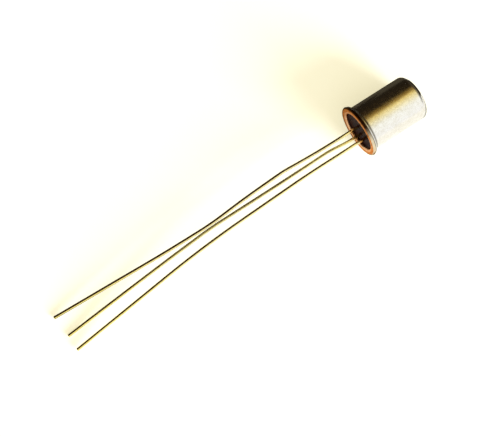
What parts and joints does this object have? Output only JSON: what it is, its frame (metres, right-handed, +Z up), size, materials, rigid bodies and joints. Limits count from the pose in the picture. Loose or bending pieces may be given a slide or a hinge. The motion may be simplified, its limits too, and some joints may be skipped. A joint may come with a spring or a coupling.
{
  "type": "germanium transistor",
  "caption": "Small metal-can transistor lying on its side: drawn can, flanged copper header with a dark glass seal, and long bent wire leads that reach down to the table.",
  "frame": {"origin": "middle of the whole outline, on the table that the part lies on", "axes": "+X from the lead tips to the closed end of the can, +Z up from the table"},
  "size_m": [0.0538, 0.007, 0.007],
  "materials": {
    "can_plating": "dull plated sheet steel with fine scuffs",
    "header_copper": "worn copper plating, darker at the edge",
    "seal_glass": "dark glossy sealing glass",
    "lead_wire": "dull gold-coloured plating, tarnished",
    "tab_nickel": "stamped nickel sheet",
    "soft_solder": "smooth solder",
    "germanium": "etched grey crystal",
    "indium": "smooth soft metal",
    "contact_nickel": "drawn nickel wire"
  },
  "bodies": {
    "root": {"can": "can_plating", "header_eyelet": "header_copper", "glass_seal": "seal_glass", "emitter_lead": "lead_wire", "base_lead": "lead_wire", "collector_lead": "lead_wire", "base_tab": "tab_nickel", "solder_ring": "soft_solder", "germanium_wafer": "germanium", "emitter_pellet": "indium", "collector_pellet": "indium", "emitter_wire": "contact_nickel", "collector_wire": "contact_nickel"}
  },
  "joints": []
}
